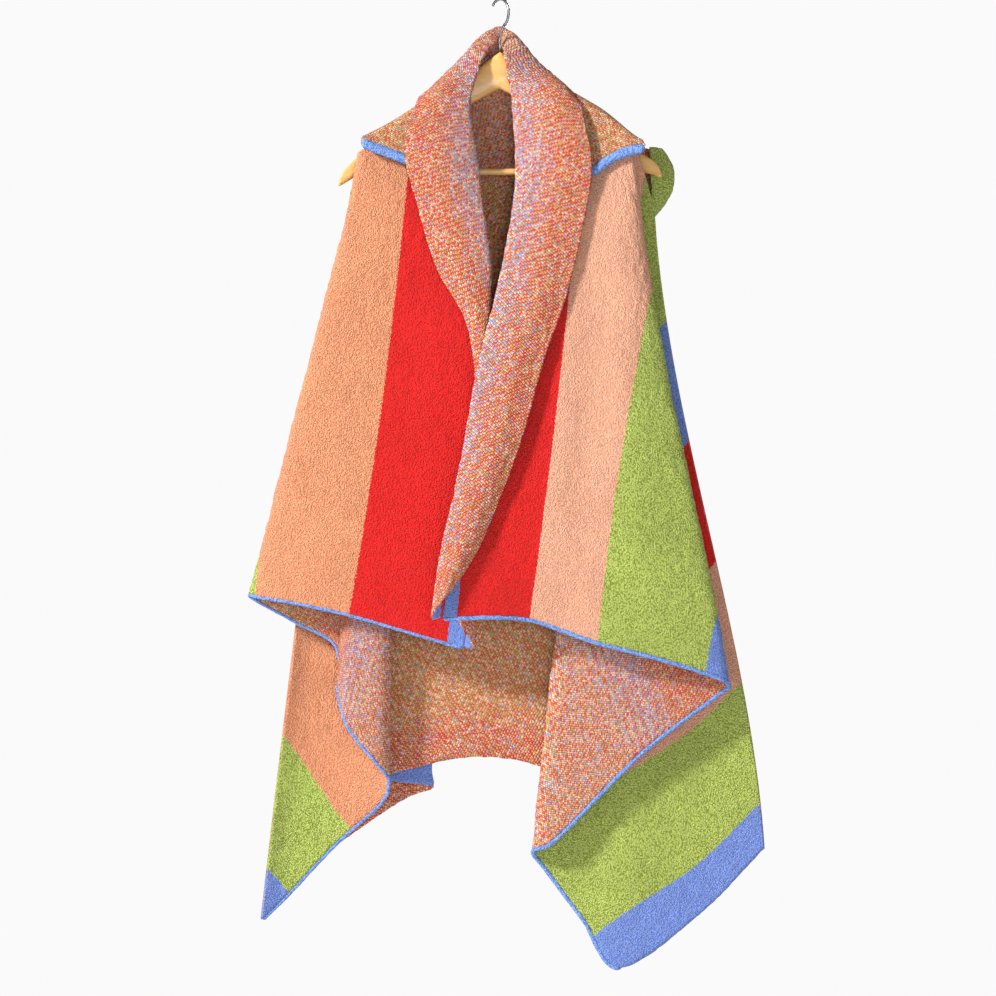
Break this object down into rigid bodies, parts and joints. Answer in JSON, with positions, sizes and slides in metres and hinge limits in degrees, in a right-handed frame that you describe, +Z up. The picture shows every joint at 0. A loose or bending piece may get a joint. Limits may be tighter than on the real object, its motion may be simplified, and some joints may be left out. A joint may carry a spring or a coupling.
{
  "type": "knitted poncho sweater on a wooden clothes hanger",
  "caption": "Sleeveless open-front knitted poncho wrap in broad stripes with a rolled shawl collar, hung on a contoured wooden hanger with a wire hook",
  "frame": {"origin": "inside top of the hanger's hook, where a rail or peg holds it", "axes": "+Z up along the hanging garment, -Y the front, +X to the wearer's left"},
  "size_m": [0.7106, 0.1751, 1.3401],
  "materials": {
    "striped_knit": "plush knit in red, salmon, green and blue stripes, birdseye marl on the wrong side",
    "marl_knit": "matte birdseye marl knit",
    "yoke_knit": "matte ochre marl knit",
    "edging_knit": "matte light-blue knit",
    "hanger_wood": "satin lacquer",
    "hook_steel": "bright wire"
  },
  "bodies": {
    "root": {"front_left": "striped_knit", "front_right": "striped_knit", "back": "striped_knit", "collar": "marl_knit", "yoke_left": "yoke_knit", "yoke_right": "yoke_knit", "yoke_band_left": "edging_knit", "yoke_band_right": "edging_knit", "edging_left": "edging_knit", "edging_right": "edging_knit", "hanger_arms": "hanger_wood", "trouser_bar": "hanger_wood", "hanger_hook": "hook_steel"}
  },
  "joints": []
}
